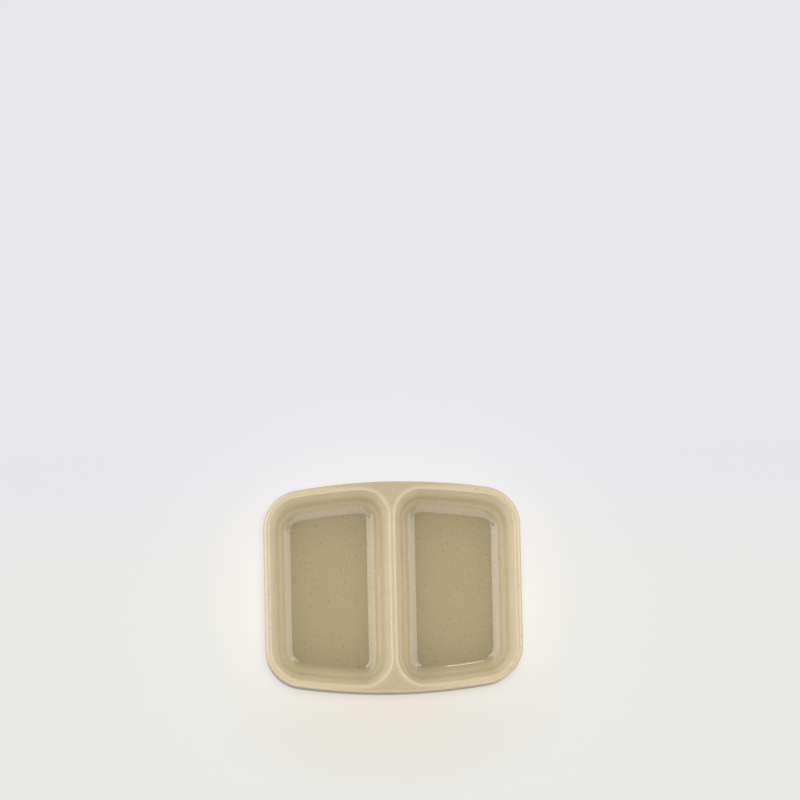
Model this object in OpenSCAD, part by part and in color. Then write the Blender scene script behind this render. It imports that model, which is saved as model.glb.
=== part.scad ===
// Two-compartment olive dish in glazed stoneware, lying on its foot ring with the pockets open upwards.
// X runs along the length, through both pockets. Y runs along the dividing wall. Z is up.
// The origin is on the ground below the middle of the dish.
// The whole surface is a stack of closed loops. A profile of offsets and heights sets each loop, and an
// outline gives its shape. The same profile taken deeper by the glaze thickness is the clay's surface.

/* [Overall] */
// Length over the two short ends
dish_len = 129; // [118:1:142]
// Width over the two curved long sides
dish_wid = 106; // [98:1:118]
// Height from the foot to the rim
dish_h = 33; // [29:1:38]

/* [Outline] */
// Radius of the outward curve of the long sides
crown_r = 308; // [240:1:600]
// Radius of the four corners at the rim
corner_r = 19.5; // [18:0.5:24]

/* [Walls and rim] */
// Slope of the outer wall from upright, in degrees
outer_draft = 8; // [5:0.5:11]
// Slope of the pocket walls from upright, in degrees
inner_draft = 9; // [6:0.5:10]
// Width of the rim along the short ends
end_rim_w = 3.4; // [3:0.1:4.4]
// Width of the rim along the long sides
side_rim_w = 3.9; // [3.2:0.1:4.8]
// Rounding of the rim's outer edge
rim_edge_r = 1.2; // [0.8:0.1:1.5]
// Rounding of the rim's edge at the pockets
mouth_edge_r = 1; // [0.7:0.1:1.4]

/* [Pockets] */
// Width of the dividing wall at the rim
divider_w = 3.6; // [3:0.1:6]
// Radius of the pocket corners beside the dividing wall
divider_corner_r = 13.5; // [12.5:0.5:16]
// Radius between the pocket walls and floor
floor_fillet_r = 7.5; // [5:0.5:8.5]
// Thickness of the floor over the underside
floor_t = 3.5; // [3:0.1:5]

/* [Heel and foot ring] */
// Radius of the heel, where the outer wall turns under
heel_r = 9; // [6:0.5:11]
// Height of the underside above the ground
foot_h = 1.8; // [1.6:0.1:2.6]
// Width of the foot ring's clay
foot_w = 2.8; // [2.2:0.1:3.4]
// Rounding of the foot ring's lower edges
foot_edge_r = 0.5; // [0.3:0.1:0.6]
// Radius between the foot ring and the underside
foot_cove_r = 0.6; // [0.4:0.1:0.8]
// Height of the bare clay band on the foot ring
bare_h = 0.8; // [0.6:0.1:1]

/* [Hollow under the dividing wall] */
// Width of the hollow where it opens into the underside
hollow_mouth_w = 11; // [10:0.5:12]
// Width of the hollow at its top
hollow_top_w = 4.4; // [4:0.2:6]
// Height of the hollow above the underside
hollow_h = 8.2; // [6:0.2:9]
// Distance from the foot ring to the end of the hollow
hollow_end_land = 6; // [4:0.5:12]
// Rounding of the hollow's edge
hollow_edge_r = 2; // [1:0.1:2.5]
// Radius under the top of the hollow
hollow_top_r = 1.2; // [0.6:0.1:1.6]

/* [Glaze] */
// Thickness of the glaze
glaze_t = 0.4; // [0.3:0.05:0.55]

/* [Hidden] */

glaze_color = [0.80, 0.74, 0.60];
clay_color = [0.86, 0.81, 0.71];

// Steps around each corner of the rim's outline
corner_steps = 8;
// Steps along a pocket's curved side
crown_steps = 3;
// Steps around half of a pocket corner beside the dividing wall
divider_corner_steps = 3;
// Steps across the large and the small roundings of a profile
round_steps = 5;
edge_steps = 3;
small_steps = 2;

// Half sizes of the rim's outline
half_len = dish_len / 2;
half_wid = dish_wid / 2;
// Distance from the middle back to the centre of a long side's curve
crown_back = crown_r - half_wid;

// Pocket outline where its walls would meet the rim's top
pocket_out = half_len - end_rim_w;
pocket_in = divider_w / 2;
pocket_crown_r = crown_r - side_rim_w;
pocket_corner_r = corner_r - end_rim_w;
floor_z = foot_h + floor_t;

// Outer wall: where it leaves the rim's rounding, as offset from the outline and height
wall_top = [rim_edge_r * (1 - cos(outer_draft)), dish_h - rim_edge_r * (1 + sin(outer_draft))];
heel_c = [wall_top[0] + (wall_top[1] - foot_h - heel_r) * tan(outer_draft) + heel_r / cos(outer_draft),
          foot_h + heel_r];

// Foot ring: offsets of its clay's outer and inner faces from the outline
foot_out = heel_c[0] + foot_cove_r + glaze_t;
foot_in = foot_out + foot_w;

// Hollow: half sizes of its mouth and the slope of its walls
hollow_half_w = hollow_mouth_w / 2;
hollow_half_len = half_wid - foot_in - hollow_end_land;
hollow_slope = atan((hollow_mouth_w - hollow_top_w) / 2 / hollow_h);

// Number of steps in a quarter of the outline, and between the ends of the middle line
quarter_steps = 1 + corner_steps + crown_steps + divider_corner_steps;
middle_steps = 2 * divider_corner_steps + 2;
loop_n = 4 * quarter_steps;
pocket_n = 2 * quarter_steps + middle_steps;

// Points of an arc with centre c and radius r, from angle a to angle b in n steps
function arc(c, r, a, b, n) = [for (i = [0:n]) let (t = a + (b - a) * i / n) c + r * [cos(t), sin(t)]];

// Entries of an outline: each is a point and the outward normal there, [x, y, nx, ny]
function entry(p, t) = [p[0], p[1], cos(t), sin(t)];
function arc_entries(c, r, a, b, n) =
    [for (i = [0:n]) let (t = a + (b - a) * i / n) entry(c + r * [cos(t), sin(t)], t)];

// All but the first item of a list
function rest(list) = [for (i = [1:len(list) - 1]) list[i]];

// Centre of a rounding of radius r whose centre lies at x, tangent to a long side's curve of radius big_r
function under_crown(x, r, big_r) = [x, sqrt((big_r - r) * (big_r - r) - x * x) - crown_back];
// Angle of the normal where that rounding meets the curve
function crown_angle(c) = atan2(c[1] + crown_back, c[0]);

// First quarter of the rim's outline, from the end of the length to the end of the width
function rim_quarter() =
    let (c = under_crown(half_len - corner_r, corner_r, crown_r),
         t = crown_angle(c),
         n = crown_steps + divider_corner_steps)
    concat([entry([half_len, 0], 0)],
           arc_entries(c, corner_r, 0, t, corner_steps),
           rest(arc_entries([0, -crown_back], crown_r, t, 90, n)));

// First quarter of the hollow's outline, a slot along Y with round ends
function hollow_quarter() =
    concat([entry([hollow_half_w, 0], 0)],
           arc_entries([0, hollow_half_len - hollow_half_w], hollow_half_w, 0, 90, quarter_steps - 1));

// Closed outline from its first quarter, mirrored into the other three
function four_quarters(q) =
    let (n = len(q) - 1)
    [for (i = [0:4 * n - 1])
        let (part = floor(i / n),
             e = part % 2 == 0 ? q[i % n] : q[n - i % n],
             sx = part == 1 || part == 2 ? -1 : 1,
             sy = part >= 2 ? -1 : 1)
        [e[0] * sx, e[1] * sy, e[2] * sx, e[3] * sy]];

// Half of the right pocket's outline, from the middle of its outer side round to the dividing wall
inner_corner_c = under_crown(pocket_in + divider_corner_r, divider_corner_r, pocket_crown_r);
function pocket_half() =
    let (c = under_crown(pocket_out - pocket_corner_r, pocket_corner_r, pocket_crown_r),
         t = crown_angle(c),
         inner_t = crown_angle(inner_corner_c))
    concat([entry([pocket_out, 0], 0)],
           arc_entries(c, pocket_corner_r, 0, t, corner_steps),
           rest(arc_entries([0, -crown_back], pocket_crown_r, t, inner_t, crown_steps)),
           rest(arc_entries(inner_corner_c, divider_corner_r, inner_t, 180, 2 * divider_corner_steps)),
           [entry([pocket_in, 0], 180)]);

// Closed outline from its half above the X axis
function two_halves(h) =
    let (n = len(h) - 1)
    concat(h, [for (i = [n - 1:-1:1]) [h[i][0], -h[i][1], h[i][2], -h[i][3]]]);

rim_outline = four_quarters(rim_quarter());
hollow_outline = four_quarters(hollow_quarter());
right_outline = two_halves(pocket_half());
left_outline = [for (e = right_outline) -e];

// The outline drawn in by each profile point's offset, at its height
function loops(outline, profile) =
    [for (p = profile) [for (e = outline) [e[0] - p[0] * e[2], e[1] - p[0] * e[3], p[1]]]];

// Profiles at a depth d below the finished surface, as offset and height

// Outer wall: from the bare line up the foot ring, round the heel and up to the rim's flat top
function wall_profile(d) =
    concat([[foot_out - glaze_t + d, bare_h]],
           arc([heel_c[0], foot_h - foot_cove_r], foot_cove_r + d, 0, 90, small_steps),
           rest(arc(heel_c, heel_r - d, 270, 180 + outer_draft, round_steps)),
           arc([rim_edge_r, dish_h - rim_edge_r], rim_edge_r - d, 180 + outer_draft, 90, edge_steps));

// Pocket: from the rim's flat top over its edge, down the wall and round to the floor
function pocket_profile(d) =
    concat(arc([mouth_edge_r * (tan(inner_draft) - 1 / cos(inner_draft)), dish_h - mouth_edge_r],
               mouth_edge_r - d, 90, inner_draft, edge_steps),
           arc([(dish_h - floor_z - floor_fillet_r) * tan(inner_draft) + floor_fillet_r / cos(inner_draft),
                floor_z + floor_fillet_r],
               floor_fillet_r + d, 180 + inner_draft, 270, round_steps));

// Hollow: from its top down the wall and over its edge to the underside
function hollow_profile(d) =
    concat(arc([(hollow_h - hollow_top_r) * tan(hollow_slope) + hollow_top_r / cos(hollow_slope),
                foot_h + hollow_h - hollow_top_r],
               hollow_top_r + d, 90, 180 - hollow_slope, small_steps),
           arc([hollow_edge_r * (tan(hollow_slope) - 1 / cos(hollow_slope)), foot_h + hollow_edge_r],
               hollow_edge_r - d, 360 - hollow_slope, 270, small_steps));

// Inside of the foot ring: from the underside down to the bare line
function foot_inside_profile(d) =
    concat(arc([foot_in + glaze_t + foot_cove_r, foot_h - foot_cove_r],
               foot_cove_r + d, 90, 180, small_steps),
           [[foot_in + glaze_t - d, bare_h]]);

// Bare end of the foot ring, between the two bare lines
foot_profile =
    concat(arc([foot_in - foot_edge_r, foot_edge_r], foot_edge_r, 0, -90, small_steps),
           arc([foot_out + foot_edge_r, foot_edge_r], foot_edge_r, -90, -180, small_steps));

// Loops of each stretch of the surface at a depth d
function wall_loops(d) = loops(rim_outline, wall_profile(d));
function base_loops(d) =
    concat(loops(hollow_outline, hollow_profile(d)), loops(rim_outline, foot_inside_profile(d)));
function pocket_loops(outline, d) = loops(outline, pocket_profile(d));

// Heights along Y of the middle line's points, where the rim's flat top crosses the dividing wall
middle_top = half_wid - rim_edge_r;
middle_upper = [for (j = [1:divider_corner_steps])
                    middle_top + (inner_corner_c[1] - middle_top) * j / divider_corner_steps];
middle_y = concat(middle_upper, [0], -[for (j = [len(middle_upper) - 1:-1:0]) middle_upper[j]]);

// Points above a wall's last loop: the middle line, then the right pocket, then the left one
function top_points(d) =
    concat([for (y = middle_y) [0, y, dish_h - d]],
           flat(pocket_loops(right_outline, d)),
           flat(pocket_loops(left_outline, d)));

function flat(lists) = [for (l = lists) each l];

// Faces, as lists of point numbers, clockwise seen from outside
function ids(first, n) = [for (i = [0:n - 1]) first + i];
// A face seen from its other side. It keeps its first point, so that a wide face is still cut into
// triangles from the middle of a straight side.
function turned(face) = concat([face[0]], [for (i = [len(face) - 1:-1:1]) face[i]]);
function inside_out(faces) = [for (f = faces) turned(f)];
function band(a, b) =
    [for (i = [0:len(a) - 1])
        let (j = (i + 1) % len(a))
        each [[a[i], b[i], b[j]], [a[i], b[j], a[j]]]];
function stack(first, n, count) =
    [for (k = [0:count - 2]) each band(ids(first + k * n, n), ids(first + (k + 1) * n, n))];

// Edge of one half of the rim's flat top: half the rim's loop, then the middle line.
// rim is the loop's first point number, middle the middle line's, and turn is 0 right or 1 left.
function half_edge(rim, middle, turn) =
    [for (i = [0:pocket_n - 1])
        let (q = quarter_steps, m = i - q)
        i <= q ? rim + (i + 2 * q * turn) % loop_n :
        m < middle_steps ? middle + (turn == 0 ? m - 1 : middle_steps - m - 1) :
        rim + (m - middle_steps + 3 * q + 2 * q * turn) % loop_n];

pocket_count = len(pocket_profile(0));

// Flat top and both pockets, above the rim loop that starts at point number rim
function top_faces(rim) =
    let (middle = rim + loop_n,
         right = middle + middle_steps - 1,
         left = right + pocket_n * pocket_count)
    concat(pocket_faces(half_edge(rim, middle, 0), right), pocket_faces(half_edge(rim, middle, 1), left));
function pocket_faces(edge, first) =
    concat(band(edge, ids(first, pocket_n)),
           stack(first, pocket_n, pocket_count),
           [turned(ids(first + pocket_n * (pocket_count - 1), pocket_n))]);

// Fired clay body: pockets, dividing wall, rim, walls and the foot ring with its bare end
module stoneware_body() {
    under = flat(base_loops(glaze_t));
    foot = flat(loops(rim_outline, foot_profile));
    wall = flat(wall_loops(glaze_t));
    count = (len(under) + len(foot) + len(wall)) / loop_n;
    color(clay_color)
    polyhedron(points = concat(under, foot, wall, top_points(glaze_t)),
               faces = concat([ids(0, loop_n)],
                              stack(0, loop_n, count),
                              top_faces(loop_n * (count - 1))));
}

// Glaze over the outer wall, the rim and the pockets, down to the bare line outside the foot ring
module glaze_coat() {
    wall = flat(wall_loops(0));
    count = len(wall) / loop_n;
    skin = concat(wall, top_points(0));
    clay = concat(flat(wall_loops(glaze_t)), top_points(glaze_t));
    faces = concat(stack(0, loop_n, count), top_faces(loop_n * (count - 1)));
    clay_faces = [for (f = inside_out(faces)) [for (i = f) i + len(skin)]];
    color(glaze_color)
    polyhedron(points = concat(skin, clay),
               faces = concat(faces, clay_faces, band(ids(len(skin), loop_n), ids(0, loop_n))));
}

// Glaze inside the foot ring, over the underside and the hollow
module base_glaze() {
    skin = flat(base_loops(0));
    clay = flat(base_loops(glaze_t));
    count = len(skin) / loop_n;
    last = loop_n * (count - 1);
    faces = concat([ids(0, loop_n)], stack(0, loop_n, count));
    clay_faces = [for (f = inside_out(faces)) [for (i = f) i + len(skin)]];
    color(glaze_color)
    polyhedron(points = concat(skin, clay),
               faces = concat(faces, clay_faces, band(ids(last, loop_n), ids(len(skin) + last, loop_n))));
}

stoneware_body();
glaze_coat();
base_glaze();
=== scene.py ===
"""Olive dish: the glazed stoneware surfaces, the pale floor, the lamps and the camera.

The dish lies on its foot ring with both pockets open upwards. Lengths are in millimetres until a mesh is made.
Every surface is a stack of closed loops: a profile of offsets and heights sets each loop and an outline gives
its shape. The clay is the same surface taken deeper by the glaze thickness.
"""

import math

import bpy
import numpy as np
from mathutils import Matrix, Vector


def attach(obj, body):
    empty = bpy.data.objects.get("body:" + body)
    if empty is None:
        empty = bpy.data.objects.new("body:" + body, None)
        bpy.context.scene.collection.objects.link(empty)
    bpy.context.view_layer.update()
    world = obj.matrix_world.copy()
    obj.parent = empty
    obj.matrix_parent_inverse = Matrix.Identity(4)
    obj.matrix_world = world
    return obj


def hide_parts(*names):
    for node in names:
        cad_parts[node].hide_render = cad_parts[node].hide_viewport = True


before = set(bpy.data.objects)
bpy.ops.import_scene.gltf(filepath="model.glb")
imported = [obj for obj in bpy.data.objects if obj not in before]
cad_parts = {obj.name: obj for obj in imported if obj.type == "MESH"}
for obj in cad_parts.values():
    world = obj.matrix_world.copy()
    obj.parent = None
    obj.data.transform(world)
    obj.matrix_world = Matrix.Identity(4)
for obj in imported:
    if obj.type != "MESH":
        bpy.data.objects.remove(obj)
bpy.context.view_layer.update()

MM = 0.001
PI, HALF_PI = math.pi, math.pi / 2

# Sizes of the dish, as in the part's source
DISH_LEN, DISH_WID, DISH_H = 129.0, 106.0, 33.0
CROWN_R, CORNER_R = 308.0, 19.5
OUTER_DRAFT, INNER_DRAFT = math.radians(8.0), math.radians(9.0)
END_RIM_W, SIDE_RIM_W = 3.4, 3.9
RIM_EDGE_R, MOUTH_EDGE_R = 1.2, 1.0
DIVIDER_W, DIVIDER_CORNER_R = 3.6, 13.5
FLOOR_FILLET_R, FLOOR_T = 7.5, 3.5
HEEL_R, FOOT_H, FOOT_W = 9.0, 1.8, 2.8
FOOT_EDGE_R, FOOT_COVE_R, BARE_H = 0.5, 0.6, 0.8
HOLLOW_MOUTH_W, HOLLOW_TOP_W, HOLLOW_H = 11.0, 4.4, 8.2
HOLLOW_END_LAND, HOLLOW_EDGE_R, HOLLOW_TOP_R = 6.0, 2.0, 1.2
GLAZE_T = 0.4

HALF_LEN, HALF_WID = DISH_LEN / 2, DISH_WID / 2
CROWN_BACK = CROWN_R - HALF_WID
POCKET_OUT, POCKET_IN = HALF_LEN - END_RIM_W, DIVIDER_W / 2
POCKET_CROWN_R, POCKET_CORNER_R = CROWN_R - SIDE_RIM_W, CORNER_R - END_RIM_W
FLOOR_Z = FOOT_H + FLOOR_T
WALL_TOP_S = RIM_EDGE_R * (1 - math.cos(OUTER_DRAFT))
WALL_TOP_Z = DISH_H - RIM_EDGE_R * (1 + math.sin(OUTER_DRAFT))
HEEL_S = (WALL_TOP_S + (WALL_TOP_Z - FOOT_H - HEEL_R) * math.tan(OUTER_DRAFT)
          + HEEL_R / math.cos(OUTER_DRAFT))
HEEL_Z = FOOT_H + HEEL_R
FOOT_OUT = HEEL_S + FOOT_COVE_R + GLAZE_T
FOOT_IN = FOOT_OUT + FOOT_W
HOLLOW_HALF_W = HOLLOW_MOUTH_W / 2
HOLLOW_HALF_LEN = HALF_WID - FOOT_IN - HOLLOW_END_LAND
HOLLOW_SLOPE = math.atan((HOLLOW_MOUTH_W - HOLLOW_TOP_W) / 2 / HOLLOW_H)

# Steps along each stretch of the outlines: straight end, corner, long side, half a corner beside the
# dividing wall, and half of the dividing wall's straight side
END_STEPS, CORNER_STEPS, CROWN_STEPS, INNER_STEPS, DIVIDER_STEPS = 12, 36, 16, 18, 14
QUARTER = END_STEPS + CORNER_STEPS + CROWN_STEPS + INNER_STEPS
LOOP = 4 * QUARTER
POCKET = 2 * (QUARTER + INNER_STEPS + DIVIDER_STEPS)

# Steps along the profiles, for the clay's side. The finished side has FINE times as many, and the glaze
# coat's lower edge BEAD_STEPS
FINE = 3
COVE_STEPS, HEEL_STEPS, WALL_STEPS, RIM_STEPS, FOOT_STEPS, FOOT_FACE_STEPS = 3, 10, 4, 5, 2, 2
MOUTH_STEPS, FILLET_STEPS, HOLLOW_STEPS, HOLLOW_WALL_STEPS, BEAD_STEPS = 4, 9, 4, 2, 8
# Steps across the flat parts: the rim's top, the floors' rings and the underside
LAND_STEPS, FLOOR_RINGS, CLAY_FLOOR_RINGS, UNDER_STEPS, CLAY_UNDER_STEPS = 3, 10, 2, 8, 4

# Unevenness from making by hand: how deep the waves go and their length, on the top and the underside
TOP_WAVE_DEPTH, TOP_WAVE_LEN, BASE_WAVE_DEPTH, BASE_WAVE_LEN = 0.07, 34.0, 0.1, 26.0
WAVE_COUNT, WAVE_SPREAD, WAVE_SEED = 6, (0.6, 1.3), 11
# Wavy lower edge of the glaze: its reach, and for each wave the number round the dish, weight and phase
EDGE_REACH = 0.12
EDGE_WAVES = ((3, 1.0, 1), (7, 0.8, 0), (13, 0.6, 2), (29, 0.5, 0))


# Outlines: rows of x, y and the outward normal there

def arc_rows(centre, r, a, b, n):
    """Centre plus r times (cos t, sin t), t from a to b in n steps; the normal is (cos t, sin t)."""
    t = np.linspace(a, b, n + 1)
    c, s = np.cos(t), np.sin(t)
    return np.column_stack([centre[0] + r * c, centre[1] + r * s, c, s])


def line_rows(p, q, normal, n):
    """Points p + (q - p) times k / n, for k from 0 to n, all with the same normal."""
    k = np.linspace(0, 1, n + 1)[:, None]
    return np.hstack([p + (np.array(q) - p) * k, np.broadcast_to(normal, (n + 1, 2))])


def under_crown(x, r, big_r):
    """Centre, at x, of a circle of radius r that touches a long side's circle of radius big_r from inside."""
    return np.array([x, math.sqrt((big_r - r) ** 2 - x * x) - CROWN_BACK])


def crown_angle(c):
    """Direction from the centre of a long side's circle to c."""
    return math.atan2(c[1] + CROWN_BACK, c[0])


def chain(*rows):
    """The stretches one after another, each without its last row, which the next one starts with."""
    return np.vstack([r[:-1] for r in rows])


def rim_outline():
    """Quarter: straight end, corner arc, long side's arc. It is mirrored into the other three quarters."""
    c = under_crown(HALF_LEN - CORNER_R, CORNER_R, CROWN_R)
    t = crown_angle(c)
    quarter = chain(line_rows((HALF_LEN, 0), (HALF_LEN, c[1]), (1, 0), END_STEPS),
                    arc_rows(c, CORNER_R, 0, t, CORNER_STEPS),
                    arc_rows((0, -CROWN_BACK), CROWN_R, t, HALF_PI, CROWN_STEPS + INNER_STEPS))
    return four_quarters(np.vstack([quarter, [0, HALF_WID, 0, 1]]))


def hollow_outline():
    """Slot along Y: a straight side and a half-round end in each quarter."""
    end_y = HOLLOW_HALF_LEN - HOLLOW_HALF_W
    sides = END_STEPS + CORNER_STEPS
    quarter = chain(line_rows((HOLLOW_HALF_W, 0), (HOLLOW_HALF_W, end_y), (1, 0), sides),
                    arc_rows((0, end_y), HOLLOW_HALF_W, 0, HALF_PI, QUARTER - sides))
    return four_quarters(np.vstack([quarter, [0, HOLLOW_HALF_LEN, 0, 1]]))


def four_quarters(q):
    """The quarter, then its mirror images in the Y axis, both axes and the X axis, as one closed loop."""
    back = q[::-1]
    return chain(q, back * [-1, 1, -1, 1], q * [-1, -1, -1, -1], back * [1, -1, 1, -1])


INNER_C = under_crown(POCKET_IN + DIVIDER_CORNER_R, DIVIDER_CORNER_R, POCKET_CROWN_R)


def pocket_outline():
    """Right pocket: half from the outer end round to the dividing wall, then its mirror in the X axis."""
    c = under_crown(POCKET_OUT - POCKET_CORNER_R, POCKET_CORNER_R, POCKET_CROWN_R)
    t, inner_t = crown_angle(c), crown_angle(INNER_C)
    half = chain(line_rows((POCKET_OUT, 0), (POCKET_OUT, c[1]), (1, 0), END_STEPS),
                 arc_rows(c, POCKET_CORNER_R, 0, t, CORNER_STEPS),
                 arc_rows((0, -CROWN_BACK), POCKET_CROWN_R, t, inner_t, CROWN_STEPS),
                 arc_rows(INNER_C, DIVIDER_CORNER_R, inner_t, PI, 2 * INNER_STEPS),
                 line_rows((POCKET_IN, INNER_C[1]), (POCKET_IN, 0), (-1, 0), DIVIDER_STEPS))
    half = np.vstack([half, [POCKET_IN, 0, -1, 0]])
    return chain(half, half[::-1] * [1, -1, 1, -1])


RIM, HOLLOW, RIGHT = rim_outline(), hollow_outline(), pocket_outline()
LEFT = -RIGHT  # the right pocket's outline after half a turn


# Profiles: rows of offset inwards from the outline and height, at a depth d below the finished surface

def arc(s, z, r, a, b, n):
    """Centre (s, z) plus r times (cos t, sin t), t from a to b in n steps."""
    t = np.linspace(a, b, n + 1)
    return np.column_stack([s + r * np.cos(t), z + r * np.sin(t)])


def joined(*parts, spans):
    """The arcs one after another, with spans[k] equal steps on the straight line after part k."""
    rows = [parts[0]]
    for part, n in zip(parts[1:], spans):
        k = np.linspace(0, 1, n + 1)[1:-1, None]
        rows += [rows[-1][-1] + (part[0] - rows[-1][-1]) * k, part]
    return np.vstack(rows)


def wall_profile(d, fine):
    """From the cove on the foot ring round the heel, up the wall and over the rim's outer edge."""
    return joined(arc(HEEL_S, FOOT_H - FOOT_COVE_R, FOOT_COVE_R + d, 0, HALF_PI, COVE_STEPS * fine),
                  arc(HEEL_S, HEEL_Z, HEEL_R - d, 3 * HALF_PI, PI + OUTER_DRAFT, HEEL_STEPS * fine)[1:],
                  arc(RIM_EDGE_R, DISH_H - RIM_EDGE_R, RIM_EDGE_R - d,
                      PI + OUTER_DRAFT, HALF_PI, RIM_STEPS * fine),
                  spans=(1, WALL_STEPS * fine))


def pocket_profile(d, fine):
    """From the rim's flat top over the pocket's edge, down the wall and round to the floor."""
    edge_s = MOUTH_EDGE_R * (math.tan(INNER_DRAFT) - 1 / math.cos(INNER_DRAFT))
    fillet_s = ((DISH_H - FLOOR_Z - FLOOR_FILLET_R) * math.tan(INNER_DRAFT)
                + FLOOR_FILLET_R / math.cos(INNER_DRAFT))
    return joined(arc(edge_s, DISH_H - MOUTH_EDGE_R, MOUTH_EDGE_R - d,
                      HALF_PI, INNER_DRAFT, MOUTH_STEPS * fine),
                  arc(fillet_s, FLOOR_Z + FLOOR_FILLET_R, FLOOR_FILLET_R + d,
                      PI + INNER_DRAFT, 3 * HALF_PI, FILLET_STEPS * fine),
                  spans=(WALL_STEPS * fine,))


def hollow_profile(d, fine):
    """From the hollow's top down its wall and over its edge to the underside."""
    top_s = (HOLLOW_H - HOLLOW_TOP_R) * math.tan(HOLLOW_SLOPE) + HOLLOW_TOP_R / math.cos(HOLLOW_SLOPE)
    edge_s = HOLLOW_EDGE_R * (math.tan(HOLLOW_SLOPE) - 1 / math.cos(HOLLOW_SLOPE))
    return joined(arc(top_s, FOOT_H + HOLLOW_H - HOLLOW_TOP_R, HOLLOW_TOP_R + d,
                      HALF_PI, PI - HOLLOW_SLOPE, HOLLOW_STEPS * fine),
                  arc(edge_s, FOOT_H + HOLLOW_EDGE_R, HOLLOW_EDGE_R - d,
                      2 * PI - HOLLOW_SLOPE, 3 * HALF_PI, HOLLOW_STEPS * fine),
                  spans=(HOLLOW_WALL_STEPS * fine,))


def foot_inside_profile(d, fine):
    """From the underside round the cove onto the foot ring's inner face."""
    return arc(FOOT_IN + GLAZE_T + FOOT_COVE_R, FOOT_H - FOOT_COVE_R, FOOT_COVE_R + d,
               HALF_PI, PI, COVE_STEPS * fine)


def foot_profile(fine):
    """Bare end of the foot ring: inner edge, the face that stands on the ground, outer edge."""
    return joined(arc(FOOT_IN - FOOT_EDGE_R, FOOT_EDGE_R, FOOT_EDGE_R, 0, -HALF_PI, FOOT_STEPS * fine),
                  arc(FOOT_OUT + FOOT_EDGE_R, FOOT_EDGE_R, FOOT_EDGE_R, -HALF_PI, -PI, FOOT_STEPS * fine),
                  spans=(FOOT_FACE_STEPS,))


def bead(s):
    """Rounded lower edge of a glaze coat: half a circle as wide as the glaze is thick, below its middle."""
    return arc(s, BARE_H + GLAZE_T / 2, GLAZE_T / 2, 0, -PI, BEAD_STEPS)


def loops(outline, profile):
    """Each profile row as a loop: the outline moved inwards along its normals by the offset, at the height."""
    s = profile[:, 0][:, None, None]
    xy = outline[None, :, :2] - s * outline[None, :, 2:]
    z = np.broadcast_to(profile[:, 1][:, None, None], xy.shape[:2] + (1,))
    return np.concatenate([xy, z], axis=2)


# Faces, counter-clockwise seen from outside

def band(a, b):
    """Four-sided faces between two closed loops of point numbers."""
    return np.column_stack([a, np.roll(a, -1), np.roll(b, -1), b])


def stack(first, n, count):
    """Bands between count loops of n points each, numbered one loop after another from first."""
    ids = first + np.arange(count * n).reshape(count, n)
    return np.vstack([band(a, b) for a, b in zip(ids[:-1], ids[1:])])


class Surface:
    """Points and faces of one closed mesh. in_pocket lists the numbers of the points inside the pockets."""

    def __init__(self):
        self.points, self.faces, self.in_pocket, self.count = [], [], [], 0

    def add(self, points):
        """Adds points and returns the number of the first."""
        points = np.asarray(points, float).reshape(-1, 3)
        first = self.count
        self.points.append(points)
        self.count += len(points)
        return first

    def add_loops(self, grid):
        """Adds loops joined by bands and returns the point numbers of the first and the last loop."""
        count, n = grid.shape[:2]
        first = self.add(grid)
        self.faces.append(stack(first, n, count))
        ids = np.arange(n)
        return first + ids, first + (count - 1) * n + ids

    def join(self, a, b):
        """Joins two closed loops of point numbers with four-sided faces."""
        self.faces.append(band(a, b))

    def close(self, loop, middle):
        """Closes a loop with triangles that meet in one middle point."""
        pole = self.add([middle])
        self.faces.append(np.column_stack([loop, np.roll(loop, -1), np.full(len(loop), pole)]))


def add_top(surface, rim, d, fine, floor_rings):
    """Closes the rim's last loop with the flat top and both pockets.

    A middle line along Y halves the top. Each half's edge has as many points as a pocket's loop, so that
    straight lines join them, and the pocket's floor is its last loop shrunk step by step to its middle.
    A pocket's own points begin after the rim's flat top, which ends at its mouth.
    """
    upper = np.concatenate([np.linspace(HALF_WID - RIM_EDGE_R, INNER_C[1], INNER_STEPS + 1)[1:],
                            np.linspace(INNER_C[1], 0, DIVIDER_STEPS + 1)[1:]])
    y = np.concatenate([upper, -upper[-2::-1]])
    middle = surface.add(np.column_stack([0 * y, y, 0 * y + DISH_H - d])) + np.arange(len(y))
    for outline, ring, line in ((RIGHT, rim, middle), (LEFT, np.roll(rim, -2 * QUARTER), middle[::-1])):
        edge = np.concatenate([ring[:QUARTER + 1], line, ring[3 * QUARTER:]])
        grid = loops(outline, pocket_profile(d, fine))
        land = between(np.vstack(surface.points)[edge], grid[0], LAND_STEPS)
        centre = grid[-1].mean(axis=0)
        floor = between(grid[-1], np.broadcast_to(centre, grid[-1].shape), floor_rings)
        first, last = surface.add_loops(np.concatenate([land, grid, floor]))
        surface.join(edge, first)
        surface.close(last, centre)
        surface.in_pocket.append(np.arange(first[0] + len(land) * POCKET, surface.count))


def between(a, b, n):
    """The n - 1 loops that cut the straight lines from loop a to loop b into n equal steps."""
    k = np.linspace(0, 1, n + 1)[1:-1, None, None]
    return a[None] + (b - a)[None] * k


def top_skin(d, fine, floor_rings):
    """The finished top side, or the clay under it, from the foot ring's outer face upwards.

    Returns the surface and its first loop, at the lower edge.
    """
    surface = Surface()
    edge = bead(FOOT_OUT - GLAZE_T / 2) if d == 0 else np.empty((0, 2))
    first, last = surface.add_loops(loops(RIM, np.vstack([edge, wall_profile(d, fine)])))
    add_top(surface, last, d, fine, floor_rings)
    return surface, first


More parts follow.
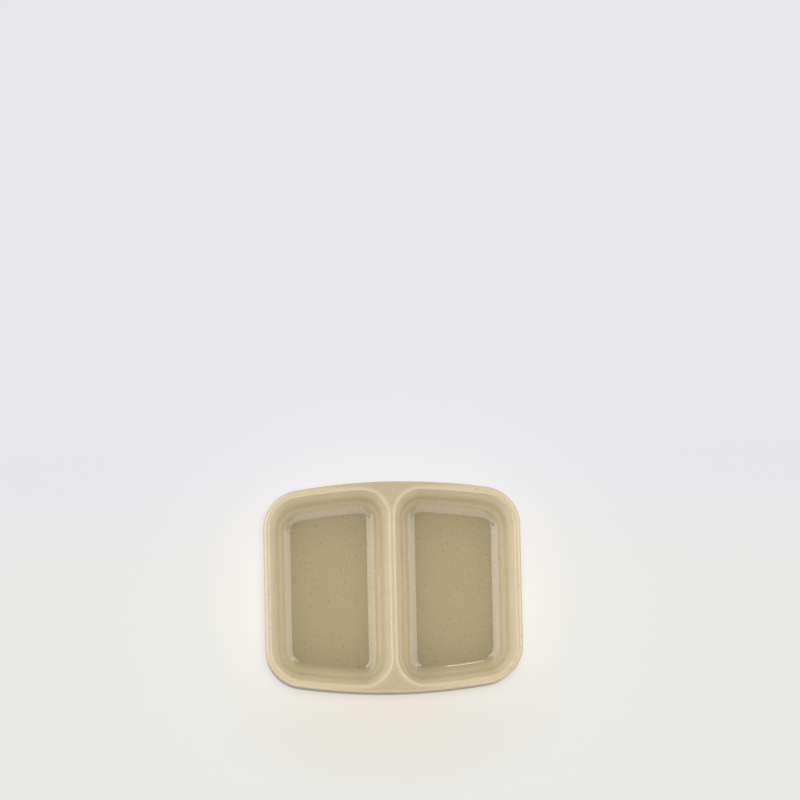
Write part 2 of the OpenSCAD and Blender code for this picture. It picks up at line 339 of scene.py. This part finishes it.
def base_skin(d, fine):
    """The finished underside, or the clay over it, from the hollow's top to the foot ring's inner face.

    Returns the surface and its last loop, at the lower edge.
    """
    surface = Surface()
    edge = bead(FOOT_IN + GLAZE_T / 2) if d == 0 else np.empty((0, 2))
    hollow = loops(HOLLOW, hollow_profile(d, fine))
    under = loops(RIM, np.vstack([foot_inside_profile(d, fine), edge]))
    first, last = surface.add_loops(np.concatenate([hollow, between(hollow[-1], under[0], UNDER_STEPS), under]))
    close_slot(surface, first, hollow[0])
    return surface, last


def close_slot(surface, loop, points):
    """Closes the hollow's top loop over a line down its middle.

    The line's points lie at the loop's y times (length - width) / length. A point of the loop and its
    mirror image in the Y axis share one.
    """
    side = np.roll(np.arange(LOOP), QUARTER)[:2 * QUARTER + 1]
    reach, width = np.abs(points[:, 1]).max(), np.abs(points[:, 0]).max()
    y = points[side, 1] * (reach - width) / reach
    first = surface.add(np.column_stack([0 * y, y, 0 * y + points[0, 2]]))
    line = np.empty(LOOP, int)
    line[side] = line[(2 * QUARTER - side) % LOOP] = first + np.arange(len(side))
    surface.join(line, loop)


def hand_made(surface, depth, size):
    """Draws the skin in by depth * (1 + f) / 2 along its normals.

    f is the mean of WAVE_COUNT sine waves of about that length in mixed directions, so it lies between -1
    and 1. A point's normal is along the sum of its faces' normals, each as long as twice its face's area.
    """
    points, faces = np.vstack(surface.points), surface.faces
    normals = np.zeros_like(points)
    for f in faces:
        across = points[f[:, 2]] - points[f[:, 0]]
        normal = np.cross(across, points[f[:, -1]] - points[f[:, 1]])
        for corner in f.T:
            np.add.at(normals, corner, normal)
    normals /= np.linalg.norm(normals, axis=1)[:, None]
    rng = np.random.default_rng(WAVE_SEED)
    waves = rng.normal(size=(WAVE_COUNT, 3))
    waves *= 2 * PI / size / np.linalg.norm(waves, axis=1)[:, None]
    waves *= rng.uniform(*WAVE_SPREAD, (WAVE_COUNT, 1))
    f = np.sin(points @ waves.T + rng.uniform(0, 2 * PI, WAVE_COUNT)).mean(axis=1)
    surface.points = [points - normals * (depth * (1 + f) / 2)[:, None]]


def wavy_edge(surface):
    """Lifts and lowers the coat's lower edge by EDGE_REACH times the weighted mean of EDGE_WAVES.

    Each is a sine of the direction from the middle. The lift fades out over a glaze thickness below the cove.
    """
    points = np.vstack(surface.points)
    t = np.arctan2(points[:, 1], points[:, 0])
    weights = sum(weight for _, weight, _ in EDGE_WAVES)
    wave = sum(weight * np.sin(count * t + phase) for count, weight, phase in EDGE_WAVES) / weights
    fade = np.clip((FOOT_H - FOOT_COVE_R - points[:, 2]) / GLAZE_T, 0, 1)
    points[:, 2] += EDGE_REACH * wave * fade
    surface.points = [points]


def shell(outer, inner, seam):
    """One closed surface from an outer skin and the clay side under it, joined by a band between two loops."""
    inner.faces = [f[:, ::-1] + outer.count for f in inner.faces]
    outer.points += inner.points
    outer.faces += inner.faces
    outer.join(*seam)
    return outer


def glaze_coat_surface():
    """The coat over the outer wall, the rim and both pockets."""
    outer, edge = top_skin(0, FINE, FLOOR_RINGS)
    hand_made(outer, TOP_WAVE_DEPTH, TOP_WAVE_LEN)
    wavy_edge(outer)
    inner, clay_edge = top_skin(GLAZE_T, 1, CLAY_FLOOR_RINGS)
    return shell(outer, inner, (clay_edge + outer.count, edge))


def base_glaze_surface():
    """The coat over the underside and its hollow."""
    outer, edge = base_skin(0, FINE)
    hand_made(outer, BASE_WAVE_DEPTH, BASE_WAVE_LEN)
    wavy_edge(outer)
    inner, clay_edge = base_skin(GLAZE_T, 1)
    return shell(outer, inner, (edge, clay_edge + outer.count))


def clay_surface():
    """The whole clay body: hollow, underside, foot ring, wall, top and pockets."""
    surface = Surface()
    hollow = loops(HOLLOW, hollow_profile(GLAZE_T, 1))
    ring = np.vstack([foot_inside_profile(GLAZE_T, 1), foot_profile(FINE), wall_profile(GLAZE_T, 1)])
    ring = loops(RIM, ring)
    under = between(hollow[-1], ring[0], CLAY_UNDER_STEPS)
    first, last = surface.add_loops(np.concatenate([hollow, under, ring]))
    close_slot(surface, first, hollow[0])
    add_top(surface, last, GLAZE_T, 1, CLAY_FLOOR_RINGS)
    return surface


def make_piece(name, surface, material, node):
    """A smooth mesh object from a surface, in metres, that stands for a node of the part.

    Its attribute in_pocket is 1 at the points inside the pockets and 0 elsewhere.
    """
    mesh = bpy.data.meshes.new(name)
    faces = [row for f in surface.faces for row in f.tolist()]
    mesh.from_pydata((np.vstack(surface.points) * MM).tolist(), [], faces)
    if surface.in_pocket:
        inside = np.zeros(len(mesh.vertices))
        inside[np.concatenate(surface.in_pocket)] = 1
        mesh.attributes.new("in_pocket", "FLOAT", "POINT").data.foreach_set("value", inside)
    mesh.shade_smooth()
    mesh.materials.append(material)
    piece = bpy.data.objects.new(name, mesh)
    bpy.context.scene.collection.objects.link(piece)
    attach(piece, "root")
    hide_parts(node)
    return piece


# Shader maths: a Value wraps a socket, and an expression on Values adds the Math nodes

class Value:
    """A socket of a node tree."""

    def __init__(self, nodes, socket):
        self.nodes, self.socket = nodes, socket

    def maths(self, operation, *values):
        """A Math node on numbers and Values."""
        return self.nodes.add("ShaderNodeMath", {"operation": operation}, dict(enumerate(values)))

    def __add__(self, other):
        return self.maths("ADD", self, other)

    def __sub__(self, other):
        return self.maths("SUBTRACT", self, other)

    def __rsub__(self, other):
        return self.maths("SUBTRACT", other, self)

    def __mul__(self, other):
        return self.maths("MULTIPLY", self, other)

    def __truediv__(self, other):
        return self.maths("DIVIDE", self, other)

    def __pow__(self, other):
        return self.maths("POWER", self, other)

    __radd__, __rmul__ = __add__, __mul__

    def ramp(self, start, end):
        """0 at start, 1 at end and a smooth step between them. start may be the larger."""
        settings = {"interpolation_type": "SMOOTHSTEP", "clamp": True}
        inputs = {"Value": self, "From Min": start, "From Max": end}
        return self.nodes.add("ShaderNodeMapRange", settings, inputs, "Result")


class Nodes:
    """Node tree of one material or of the world."""

    def __init__(self, owner):
        owner.use_nodes = True
        self.tree = owner.node_tree
        self.tree.nodes.clear()

    def add(self, kind, settings=(), inputs=(), output=0):
        """Adds a node of this kind, sets its settings and then its inputs, and returns the named output."""
        node = self.tree.nodes.new(kind)
        for name, value in dict(settings).items():
            setattr(node, name, value)
        for name, value in dict(inputs).items():
            if isinstance(value, Value):
                self.tree.links.new(value.socket, node.inputs[name])
            else:
                node.inputs[name].default_value = value
        return None if output is None else Value(self, node.outputs[output])

    def mix(self, factor, a, b):
        """a where factor is 0, b where it is 1.

        Inputs 6 and 7 are A and B of a colour mix, and output 2 is its result.
        """
        return self.add("ShaderNodeMix", {"data_type": "RGBA"}, {0: factor, 6: a, 7: b}, 2)

    def place(self):
        """Object coordinates in millimetres."""
        metres = self.add("ShaderNodeTexCoord", output="Object")
        return self.add("ShaderNodeVectorMath", {"operation": "SCALE"}, {0: metres, "Scale": 1 / MM})

    def noise(self, place, size, detail=2.0, roughness=0.5):
        """Noise with features of about size mm, around 0.5."""
        inputs = {"Vector": place, "Scale": 1 / size, "Detail": detail, "Roughness": roughness}
        return self.add("ShaderNodeTexNoise", {}, inputs, "Fac")

    def specks(self, place, size, radius, shift):
        """Round specks: 1 in the middle of a speck and 0 outside. One lies in each cell of about size mm.

        Each cell's own chance makes its speck smaller or larger than radius, and fainter or darker. The shift
        sets one layer of specks off from another.
        """
        offset = (shift, 2 * shift, 3 * shift)
        shifted = self.add("ShaderNodeVectorMath", {"operation": "ADD"}, {0: place, 1: offset})
        cell = {"Vector": shifted, "Scale": 1 / size}
        distance = self.add("ShaderNodeTexVoronoi", {}, cell, "Distance") * size
        chance = self.add("ShaderNodeTexVoronoi", {}, cell, "Color")
        chance = self.add("ShaderNodeSeparateColor", {}, {0: chance}, 0)
        reach = radius * (chance * (SPECK_MOST - SPECK_LEAST) + SPECK_LEAST)
        return (distance / reach).ramp(1, SPECK_CORE) * chance.ramp(*SPECK_CHANCE)

    def part(self, vector, axis):
        """One part of a vector: X, Y or Z."""
        return self.add("ShaderNodeSeparateXYZ", {}, {0: vector}, axis)

    def from_pocket(self, place):
        """Distance on the top side from the pockets' edge beside the dividing wall, in millimetres.

        Each corner of a pocket there is an arc, so it is the distance from the arc's centre less its radius,
        and the straight side between the corners counts as an arc that opens onto its own centre line.
        """
        x, y = self.part(place, "X"), self.part(place, "Y")
        aside, beyond = INNER_C[0] - x.maths("ABSOLUTE", x), y.maths("ABSOLUTE", y) - INNER_C[1]
        aside, beyond = aside.maths("MAXIMUM", aside, 0.0), beyond.maths("MAXIMUM", beyond, 0.0)
        return (aside * aside + beyond * beyond) ** 0.5 - DIVIDER_CORNER_R

    def from_middle(self, place):
        """Place across and along the nearer pocket from its middle, in millimetres, as two values."""
        x = self.part(place, "X")
        return x.maths("ABSOLUTE", x) - (POCKET_IN + POCKET_OUT) / 2, self.part(place, "Y")

    def seen(self):
        """1 for the rays that show a background: straight from the camera, mirrored or through glass."""
        rays = [self.add("ShaderNodeLightPath", output=f"Is {kind} Ray")
                for kind in ("Camera", "Glossy", "Transmission")]
        return rays[0].maths("MAXIMUM", rays[0].maths("MAXIMUM", *rays[:2]), rays[2])


def new_material(name):
    """A material of this name and its node tree."""
    material = bpy.data.materials.new(name)
    return material, Nodes(material)


# Colours of the glaze: on the rim's flat top; on edges, lighter where it is thin and with a painted highlight;
# high and low on the pockets' walls and on the outer wall, lighter for thin glaze with painted light high up and
# painted shade low down; and where it pools, in the middle of a floor and towards its corners, darker with
# painted shade there
GLAZE, GLAZE_EDGE_AND_HIGHLIGHT = (0.352, 0.302, 0.185, 1), (0.450, 0.385, 0.235, 1)
GLAZE_WALL_THIN_AND_LIT, GLAZE_OUTSIDE_THIN_AND_LIT, GLAZE_LOW_SHADED = (0.795, 0.71, 0.512, 1), (0.59, 0.51, 0.33, 1), (0.53, 0.475, 0.31, 1)
GLAZE_FLOOR_POOLED_AND_SHADED, GLAZE_POOL_AND_CORNER_SHADE = (0.304, 0.264, 0.140, 1), (0.246, 0.213, 0.106, 1)
# What lies over them, and how much of it: clouds, grain, specks and faint specks
CLOUD, GRAIN = (0.30, 0.26, 0.14, 1), (0.62, 0.52, 0.33, 1)
SPECK, FAINT_SPECK = (0.13, 0.11, 0.06, 1), (0.17, 0.14, 0.08, 1)
CLOUD_SHARE, GRAIN_SHARE, SPECK_SHARE, FAINT_SHARE, FAINT_FLOOR_SHARE = 0.12, 0.08, 0.6, 0.1, 0.2
CLAY, CLAY_LIGHT, IRON = (0.66, 0.56, 0.41, 1), (0.74, 0.65, 0.50, 1), (0.20, 0.12, 0.06, 1)

# Glaze: ranges of noise over which clouds and grain appear, length, height and strength of its ripples, depth of
# a speck's pit as a share of theirs, and roughness of the bare glaze, its grain and its specks
CLOUD_RANGE, GRAIN_RANGE = (0.3, 0.7), (0.35, 0.75)
RIPPLE_LEN, RIPPLE_H, RIPPLE_STRENGTH, SPECK_PIT = 2.6, 0.03, 0.25, 0.25
SMOOTH, GRAIN_ROUGH, SPECK_ROUGH, GLAZE_IOR = 0.02, 0.03, 0.12, 1.58
# Clay: the range of the sand's noise, shares of sand, clouds and iron specks in its colour, height and strength
# of the sand, depth of an iron speck as a share of it, and roughness of the clay and its sand
SAND_RANGE, SAND_SHARE, CLAY_CLOUD_SHARE, IRON_SHARE = (0.3, 0.7), 0.5, 0.4, 0.8
SAND_H, SAND_STRENGTH, IRON_PIT, CLAY_ROUGH, SAND_ROUGH = 0.15, 0.6, 0.3, 0.75, 0.15

# A speck's least and greatest radius as shares of its layer's, the share of it that is fully dark, and the
# chances between which it goes from absent to full
SPECK_LEAST, SPECK_MOST, SPECK_CORE, SPECK_CHANCE = 0.35, 1.25, 0.35, (0.1, 0.8)

# Where the glaze's tones begin and end, in millimetres. The edge's tone, thin glaze and a painted highlight,
# begins on the last of the flat top beside the dividing wall's edges, and by height on every rounded edge. The
# walls' tones, with painted light and shade, begin below it.
EDGE_REACH_IN, EDGE_TOP = (3.0, 0.6), (DISH_H - 0.05, DISH_H - 0.4)
WALL_TOP, OUTER_WALL, POCKET_WALL = (DISH_H - 0.4, DISH_H - 0.7), (3, 25), (7, 28)
FLOOR_TONE, POOL_SHADE_TONE = (FLOOR_Z + 3.2, FLOOR_Z), (FLOOR_Z + 0.5, FLOOR_Z + 0.15)
# The tone of pooled glaze and painted shade grows by the square of the distance from the middle: squares of
# where it would be full
POOL_SHADE_ACROSS, POOL_SHADE_ALONG = 950, 2500


def glaze_material():
    """Glossy beige glaze: lighter where it is thin on the walls and edges, darker where it pools on the floors.
    The edges also carry a painted highlight, the walls painted light high up and painted shade low down, and the
    floors painted shade towards their corners.

    Soft clouds of colour, a fine grain, dark specks and many faint ones lie over that. The surface has
    shallow ripples and a pit at each dark speck, and is a little rougher there.
    """
    material, n = new_material("speckled_glaze")
    place = n.place()
    height = n.part(place, "Z")
    inside = n.add("ShaderNodeAttribute", {"attribute_name": "in_pocket"}, output="Fac")
    across, along = n.from_middle(place)
    # Painted shade: the floor is darker towards its edges and corners, where shade falls, on top of pooled glaze
    pool_and_shade = (across * across / POOL_SHADE_ACROSS + along * along / POOL_SHADE_ALONG) * height.ramp(*POOL_SHADE_TONE)
    low = inside * height.ramp(*FLOOR_TONE)
    # Painted light and shade: on top of the thinner glaze, the walls are painted lighter high up and darker low
    # down, where less light reaches
    wall = n.mix(inside, n.mix(height.ramp(*OUTER_WALL), GLAZE_LOW_SHADED, GLAZE_OUTSIDE_THIN_AND_LIT),
                 n.mix(height.ramp(*POCKET_WALL), GLAZE_LOW_SHADED, GLAZE_WALL_THIN_AND_LIT))
    # Painted highlight: the edges' lighter tone, beside the dividing wall and on every rounded edge at the top,
    # is partly thin glaze and partly a painted highlight
    colour = n.mix(n.from_pocket(place).ramp(*EDGE_REACH_IN), GLAZE, GLAZE_EDGE_AND_HIGHLIGHT)
    colour = n.mix(height.ramp(*EDGE_TOP), colour, GLAZE_EDGE_AND_HIGHLIGHT)
    colour = n.mix(height.ramp(*WALL_TOP), colour, wall)
    # Pooled glaze and painted shade on the floors
    colour = n.mix(low, colour, n.mix(pool_and_shade, GLAZE_FLOOR_POOLED_AND_SHADED, GLAZE_POOL_AND_CORNER_SHADE))

    clouds = n.noise(place, size=16, detail=4, roughness=0.6)
    grain = n.noise(place, size=1.3, detail=3, roughness=0.6)
    faint = n.specks(place, size=2.6, radius=0.8, shift=7)
    dark = n.specks(place, size=2.9, radius=0.5, shift=0)
    colour = n.mix(clouds.ramp(*CLOUD_RANGE) * CLOUD_SHARE, colour, CLOUD)
    colour = n.mix(grain.ramp(*GRAIN_RANGE) * GRAIN_SHARE, colour, GRAIN)
    colour = n.mix(faint * (low * FAINT_FLOOR_SHARE + FAINT_SHARE), colour, FAINT_SPECK)
    colour = n.mix(dark * SPECK_SHARE, colour, SPECK)

    skin = n.noise(place, size=RIPPLE_LEN) - dark * SPECK_PIT
    bump = n.add("ShaderNodeBump", {}, {"Strength": RIPPLE_STRENGTH, "Distance": RIPPLE_H * MM, "Height": skin})
    shader = n.add("ShaderNodeBsdfPrincipled", {}, {
        "Base Color": colour, "Roughness": grain * GRAIN_ROUGH + dark * SPECK_ROUGH + SMOOTH,
        "IOR": GLAZE_IOR, "Normal": bump})
    n.add("ShaderNodeOutputMaterial", {}, {"Surface": shader}, None)
    return material


def clay_material():
    """Bare fired clay of the foot ring: matt and sandy, with fine iron specks."""
    material, n = new_material("bare_clay")
    place = n.place()
    sand, clouds = n.noise(place, size=0.35, detail=4, roughness=0.7), n.noise(place, size=9)
    iron = n.specks(place, size=1.5, radius=0.16, shift=5)
    colour = n.mix(sand.ramp(*SAND_RANGE) * SAND_SHARE + clouds * CLAY_CLOUD_SHARE, CLAY, CLAY_LIGHT)
    colour = n.mix(iron * IRON_SHARE, colour, IRON)
    bump = n.add("ShaderNodeBump", {}, {
        "Strength": SAND_STRENGTH, "Distance": SAND_H * MM, "Height": sand - iron * IRON_PIT})
    shader = n.add("ShaderNodeBsdfPrincipled", {}, {
        "Base Color": colour, "Roughness": sand * SAND_ROUGH + CLAY_ROUGH, "Normal": bump})
    n.add("ShaderNodeOutputMaterial", {}, {"Surface": shader}, None)
    return material


glaze, clay = glaze_material(), clay_material()
dish = [make_piece("glaze_coat_skin", glaze_coat_surface(), glaze, "glaze_coat"),
        make_piece("base_glaze_skin", base_glaze_surface(), glaze, "base_glaze"),
        make_piece("clay_body", clay_surface(), clay, "stoneware_body")]


# Floor and surroundings

# Colours of the paper beyond the dish and before it, of the painted warm shade close before the dish, and of the
# background above
COOL, WARM, NEAR_WARM_SHADE = (0.80, 0.80, 0.84, 1), (0.81, 0.81, 0.79, 1), (0.77, 0.75, 0.69, 1)
AIR = (0.80, 0.80, 0.82, 1)
# Strengths: the paper's own light, the light from all round, and the background as it is seen
FLOOR_GLOW, AMBIENT, AIR_GLOW = 0.08, 0.12, 1.0
FLOOR_REACH = 30.0  # metres from the middle to the floor's edge
# Middle of the painted warm shade close before the dish, how much wider than deep it is, and the distances where
# tones begin and end
SHADE_Y, SHADE_WIDER, SHADE_REACH = -62, 2, (52, 6)
TONE_Y, HAZE_REACH = (-20, 90), (300, 900)


def floor_material():
    """Pale paper: cooler beyond the dish and warmer before it, with painted warm shade close before the dish,
    and with a part of its light its own.
    """
    material, n = new_material("pale_floor")
    place = n.place()
    x, y = n.part(place, "X") / SHADE_WIDER, n.part(place, "Y")
    near_shade = (x * x + (y - SHADE_Y) * (y - SHADE_Y)) ** 0.5
    far = n.add("ShaderNodeVectorMath", {"operation": "LENGTH"}, {0: place}, "Value")
    colour = n.mix(y.ramp(*TONE_Y), WARM, COOL)
    # Painted warm shade on the floor close before the dish
    colour = n.mix(near_shade.ramp(*SHADE_REACH), colour, NEAR_WARM_SHADE)
    colour = n.mix(far.ramp(*HAZE_REACH), colour, AIR)
    own = n.add("ShaderNodeEmission", {}, {"Color": colour, "Strength": n.seen() * FLOOR_GLOW})
    paper = n.add("ShaderNodeBsdfDiffuse", {}, {"Color": colour})
    both = n.add("ShaderNodeAddShader", {}, {0: own, 1: paper})
    n.add("ShaderNodeOutputMaterial", {}, {"Surface": both}, None)
    return material


mesh = bpy.data.meshes.new("floor")
corners = [(x * FLOOR_REACH, y * FLOOR_REACH, 0) for x, y in ((-1, -1), (1, -1), (1, 1), (-1, 1))]
mesh.from_pydata(corners, [], [(0, 1, 2, 3)])
mesh.materials.append(floor_material())
floor = bpy.data.objects.new("floor", mesh)
bpy.context.scene.collection.objects.link(floor)

world = bpy.data.worlds.new("studio")
bpy.context.scene.world = world
n = Nodes(world)
ambient = n.add("ShaderNodeBackground", {}, {"Color": (1, 1, 1, 1), "Strength": AMBIENT})
air = n.add("ShaderNodeBackground", {}, {"Color": AIR, "Strength": AIR_GLOW})
n.add("ShaderNodeOutputWorld", {}, {
    "Surface": n.add("ShaderNodeMixShader", {}, {0: n.seen(), 1: ambient, 2: air})}, None)


def receivers(name, objects):
    """A collection of the objects that a lamp lights."""
    group = bpy.data.collections.new(name)
    for thing in objects:
        group.objects.link(thing)
    return group


on_dish, on_floor = receivers("lit_dish", dish), receivers("lit_floor", [floor])

WHITE, PINK = (1, 1, 1), (1.0, 0.93, 0.97)
# Soft panels that shine straight down on the dish: name, ranges of x and y, height, radiance and colour.
# The panels beside and before the dish are mirrored as the pale bands round the pockets' floors, the tip and
# corner panels as the bands' lower ends, and the strip as the thin streak in the right pocket.
PANELS = (
    ("left_panel", (-900, -100), (-40, 350), 1000, 2.75, PINK),
    ("left_tip_panel", (-620, -100), (350, 460), 1000, 5.5, PINK),
    ("left_corner_panel", (-840, -640), (590, 790), 990, 6, PINK),
    ("left_back_panel", (-900, -350), (460, 1100), 1000, 0.45, WHITE),
    ("left_far_panel", (-1700, -900), (-600, 2100), 1000, 2.05, WHITE),
    ("left_low_panel", (-4000, -1700), (-600, 800), 1000, 2.4, WHITE),
    ("right_panel", (150, 900), (-40, 350), 1000, 2.3, PINK),
    ("right_tip_panel", (150, 620), (350, 460), 1000, 5.5, PINK),
    ("right_corner_panel", (640, 840), (590, 790), 990, 6, PINK),
    ("right_back_panel", (300, 900), (460, 900), 1000, 0.45, WHITE),
    ("right_far_panel", (900, 1700), (-600, 2100), 1000, 1.65, WHITE),
    ("right_low_panel", (1700, 4000), (-600, 800), 1000, 2.5, WHITE),
    ("front_panel", (-650, 650), (-600, -130), 1000, 1.65, PINK),
    ("front_far_panel", (-450, 450), (-1600, -600), 1000, 1.35, PINK),
    ("front_low_panel", (-900, 900), (-4000, -1600), 1000, 0.45, WHITE),
    ("back_low_panel", (-1700, 1700), (2400, 4000), 1000, 0.2, WHITE),
    ("strip", (-204, -50), (2650, 2780), 3000, 40, WHITE),
)
# Suns that light the floor: name, strength and width in degrees. SUN points to both.
SUNS = (("floor_light", 1.45, 1.2), ("soft_floor_light", 1.05, 16))
SUN = Vector((0, 0.02, 1))
PANEL_POWER = 4  # watts per square metre of a panel for a radiance of 1


def add_lamp(name, kind, receiver):
    """A lamp that lights only one collection, and its object."""
    lamp = bpy.data.lights.new(name, kind)
    lamp_object = bpy.data.objects.new(name, lamp)
    lamp_object.light_linking.receiver_collection = receiver
    bpy.context.scene.collection.objects.link(lamp_object)
    return lamp, lamp_object


for name, x, y, z, radiance, colour in PANELS:
    lamp, lamp_object = add_lamp(name, "AREA", on_dish)
    lamp.shape, lamp.color = "RECTANGLE", colour
    lamp.size, lamp.size_y = (x[1] - x[0]) * MM, (y[1] - y[0]) * MM
    lamp.energy = radiance * PANEL_POWER * lamp.size * lamp.size_y
    lamp_object.location = (sum(x) / 2 * MM, sum(y) / 2 * MM, z * MM)
    lamp_object.visible_camera = False

for name, strength, width in SUNS:
    lamp, lamp_object = add_lamp(name, "SUN", on_floor)
    lamp.energy, lamp.angle = strength, math.radians(width)
    lamp_object.rotation_euler = SUN.to_track_quat("Z", "Y").to_euler()

# Camera: place and aim in millimetres, the direction of the picture's upright on the ground, sensor width and
# lens in millimetres, and clipping distances in metres
CAMERA_PLACE, CAMERA_AIM, UPRIGHT = Vector((-56.4, -78.7, 2030)), Vector((5.47, 93.75, 33)), math.radians(1.256)
SENSOR, LENS, CLIP = 36, 179.47, (0.05, 100)
back = (CAMERA_PLACE - CAMERA_AIM).normalized()
right = Vector((math.sin(UPRIGHT), math.cos(UPRIGHT), 0)).cross(back).normalized()
camera = bpy.data.cameras.new("camera")
camera.sensor_width, camera.lens = SENSOR, LENS
camera.clip_start, camera.clip_end = CLIP
camera_object = bpy.data.objects.new("camera", camera)
camera_object.matrix_world = (Matrix.Translation(CAMERA_PLACE * MM)
                              @ Matrix((right, back.cross(right), back)).transposed().to_4x4())
bpy.context.scene.collection.objects.link(camera_object)
bpy.context.scene.camera = camera_object
bpy.context.scene.view_settings.view_transform = "Standard"
